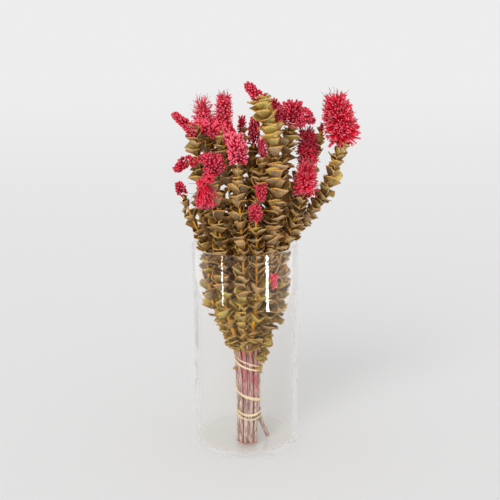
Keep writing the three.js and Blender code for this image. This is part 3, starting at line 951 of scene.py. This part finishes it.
# %% Make all heads
for i in head_ids:
    rng = random.Random("head" + i)
    kind, wider, longer, knots = HEADS[i]
    base, ahead, length, radius = head_axis(i)
    head = base, ahead, length * longer, radius * wider
    bm = bmesh.new()
    for layer in ("tip", "tone_and_painted_light", "pale"):
        bm.verts.layers.float.new(layer)
    shapes = {
        "fat": [gather(bud_shape(bm, slender)) for slender in (0.5, 0.62)],
        "club": [gather(bud_shape(bm, slender)) for slender in (0.3, 0.38)],
        "thread": [gather(filament_shape(bm, 0.08, sag)) for sag in (0.15, 0.45, -0.3)],
        "hair": [gather(filament_shape(bm, 0.016, sag)) for sag in (0.1, 0.35)],
    }
    for shape in shapes["hair"]:
        for g in shape:
            if isinstance(g, bmesh.types.BMVert):
                g[bm.verts.layers.float["pale"]] = 0.8
    pattern_verts = list(bm.verts)
    core_size = Matrix.Diagonal((head[3] * 0.4, head[2] * 0.42, head[3] * 0.4, 1))
    core_place = turned(base + ahead * length * 0.45, ahead, across(ahead)[0])
    bmesh.ops.create_uvsphere(bm, u_segments=10, v_segments=8, radius=1, matrix=core_place @ core_size)
    kind(bm, shapes, rng, head)
    middle = base + ahead * length / 2
    for x, y, z, r in knots:
        ball(bm, shapes, rng, middle + Vector((x, y, z)) * MM, r * MM)
    bmesh.ops.delete(bm, geom=pattern_verts, context="VERTS")
    tip = bm.verts.layers.float["tip"]
    tone_and_painted_light = bm.verts.layers.float["tone_and_painted_light"]
    share_of_light = DEEPER.get(i, 0.75 if kind in (spike, cluster) else 1)
    for v in bm.verts:
        v[tip] += PINKER.get(i, 0)
        # Painted light: the threads of some heads are coloured lighter, as if more brightly lit.
        v[tone_and_painted_light] = v[tone_and_painted_light] * share_of_light + BRIGHTER.get(i, 0)
    piece = finish_piece("blossom_" + i, bm, flower.material, "flowers", "flower_head_" + i)
    print("head", i, kind.__name__, len(piece.data.polygons), "faces")

# %% [markdown]
# ## The raffia tie
# Raffia is a split palm leaf: flat, thin and slightly uneven. It is wound down round the bundle in one go, so
# the strip is a grid wrapped round the stems. At each turn it lies on the outermost stems, which are found by
# asking every stem how far it reaches in that direction.

# %% How far the bundle reaches
TIE_HEIGHTS = [
    117, 108, 99, 106, 111, 102, 94, 84, 75, 66, 58, 53, 49, 43, 45, 44.5, 44, 37, 39, 39,
]  # millimetres, at each quarter turn, from the left and round by the front
HULL_SIDES = 40
hulls = {}


def bundle_hull(z):
    """The middle of the bundle at a height, and its reach in each of the level directions."""
    level = round(z / MM)
    if level not in hulls:
        places = [p for p in (at_height(line, level * MM) for line in stems.values()) if p]
        middle = sum(places, Vector()) / len(places)
        reach = []
        for k in range(HULL_SIDES):
            angle = k * math.tau / HULL_SIDES
            outward = Vector((math.cos(angle), math.sin(angle), 0))
            reach.append(max((p - middle).dot(outward) for p in places) + STEM_RADIUS)
        hulls[level] = middle, reach
    return hulls[level]


def tie_radius(z, angle):
    """How far out a strand lies when it is pulled tight round the bundle."""
    middle, reach = bundle_hull(z)
    limits = []
    for k, far in enumerate(reach):
        facing = math.cos(angle - k * math.tau / HULL_SIDES)
        if facing > 0.2:
            limits.append(far / facing)
    return middle, min(limits)


# %% Wind the strands
STRANDS = [(0.0, 2.1), (0.9, 1.0)]  # offset and width of each, in millimetres
WIND_STEPS = 320
TURNS = (len(TIE_HEIGHTS) - 1) / 4


def tie_height(turns):
    i = min(int(turns * 4), len(TIE_HEIGHTS) - 2)
    share = turns * 4 - i
    return mix(TIE_HEIGHTS[i], TIE_HEIGHTS[i + 1], share) * MM


bm = bmesh.new()
for number, (offset, width) in enumerate(STRANDS):
    rng = random.Random(number)
    for v in bmesh.ops.create_grid(bm, x_segments=WIND_STEPS, y_segments=2, size=1)["verts"]:
        turned_by = TURNS * (v.co.x + 1) / 2
        angle = math.pi + turned_by * math.tau
        near = [tie_height(max(0, min(TURNS, turned_by + k / 24))) for k in (-2, -1, 0, 1, 2)]
        wander = 0.7 * math.sin(turned_by * 5.1 + number * 2) + 0.4 * math.sin(turned_by * 13 + number)
        wide = width * mix(1, 1.7, ease(0.5 - abs(turned_by - 2.25), 0, 0.2))
        z = sum(near) / 5 + (offset + wander * 0.5 + v.co.y * wide / 2) * MM
        middle, radius = tie_radius(z, angle)
        tilt = 0.3 * v.co.y * math.sin(turned_by * 9 + number * 1.3)
        radius += (0.3 + 0.35 * number + tilt) * MM
        v.co = middle + Vector((math.cos(angle), math.sin(angle), 0)) * radius
        v.co.z = z
tie = finish_piece("raffia_strands", bm, raffia.material, "raffia", "raffia_tie")
thicken = tie.modifiers.new("thickness", "SOLIDIFY")
thicken.thickness = 0.35 * MM
thicken.offset = 0
print("raffia goes round", TURNS, "times")

# %% [markdown]
# ## Floor and light
# The bunch stands on a wide sheet of pale paper, coloured a little lighter with distance as painted light. The
# floor lies just below the foot of the vase, because two surfaces in one plane would fight for the same place.

# %% The floor
floor_bm = bmesh.new()
bmesh.ops.create_circle(
    floor_bm, cap_ends=True, segments=96, radius=40, matrix=Matrix.Translation((0, 0, -0.4 * MM))
)
floor_mesh = bpy.data.meshes.new("floor")
floor_bm.to_mesh(floor_mesh)
floor_bm.free()
floor = bpy.data.objects.new("floor", floor_mesh)
bpy.context.scene.collection.objects.link(floor)
paper = Recipe("pale_paper", 0.9, 0.0)
# Painted light: the paper is coloured a little lighter further from the camera.
painted_light_far_away = paper.ramp(paper.place("Y"), -0.1, 4)
paper.colour(paper.blend(painted_light_far_away, srgb(222, 222, 222), srgb(232, 232, 232)))
floor.data.materials.append(paper.material)

# %% [markdown]
# The light is a white sky with two very soft suns. Light that runs up and down inside the glass wall needs
# many bounces before it gets out, and a low limit would draw the edges black. The suns are kept out of
# refracted rays, because they would show as white smears in the foot of the vase.

# %% Soft light
MANY_BOUNCES = 96

world = bpy.data.worlds.new("studio")
bpy.context.scene.world = world
world.use_nodes = True
world.node_tree.nodes["Background"].inputs["Color"].default_value = (1, 1, 1, 1)
world.node_tree.nodes["Background"].inputs["Strength"].default_value = 0.72
bpy.context.scene.view_settings.view_transform = "Standard"
light_limits = bpy.context.scene.cycles
light_limits.max_bounces = MANY_BOUNCES
light_limits.glossy_bounces = MANY_BOUNCES
light_limits.transmission_bounces = MANY_BOUNCES


def sun(name, direction, strength, degrees):
    lamp = bpy.data.lights.new(name, "SUN")
    lamp.energy = strength
    lamp.angle = math.radians(degrees)
    shine = bpy.data.objects.new(name, lamp)
    shine.rotation_euler = (-Vector(direction)).to_track_quat("Z", "Y").to_euler()
    shine.visible_transmission = False
    bpy.context.scene.collection.objects.link(shine)


sun("overhead", (0.1, 0.15, -1), strength=0.25, degrees=90)
sun("key", (0.4, 1.0, -0.85), strength=1.3, degrees=40)
print("two suns")

# %% [markdown]
# A polished vase mirrors the windows or lamps of the room as upright bright lines. Narrow strips of light
# make these lines, and two wide panels at the sides make the paler veil there. They show only in reflections,
# so they light nothing else.


# %% Lights that only show in the glass
def strip(name, way, distance, width, low, high, glow):
    """A tall strip of light that only shows as a reflection in the glass."""
    lamp = bpy.data.lights.new(name, "AREA")
    lamp.shape = "RECTANGLE"
    lamp.size = width
    lamp.size_y = high - low
    lamp.energy = glow * math.pi * width * (high - low)
    box = bpy.data.objects.new(name, lamp)
    way = Vector(way).normalized()
    box.location = way * distance + Vector((0, 0, (low + high) / 2))
    box.rotation_euler = way.to_track_quat("Z", "Y").to_euler()
    bpy.context.scene.collection.objects.link(box)
    box.visible_camera = False
    box.visible_diffuse = False
    box.visible_transmission = False


strip("strip_right", (0.719, -0.695, 0), distance=0.71, width=0.085, low=0.035, high=0.4, glow=110)
strip("strip_left", (-0.729, -0.685, 0), distance=0.8, width=0.036, low=0.035, high=0.4, glow=110)
strip("panel_right", (0.95, -0.05, 0), distance=0.75, width=0.98, low=0.0, high=0.5, glow=2.2)
strip("panel_left", (-1, 0.25, 0), distance=0.85, width=0.8, low=0.0, high=0.5, glow=1.9)
print("two strips and two panels")
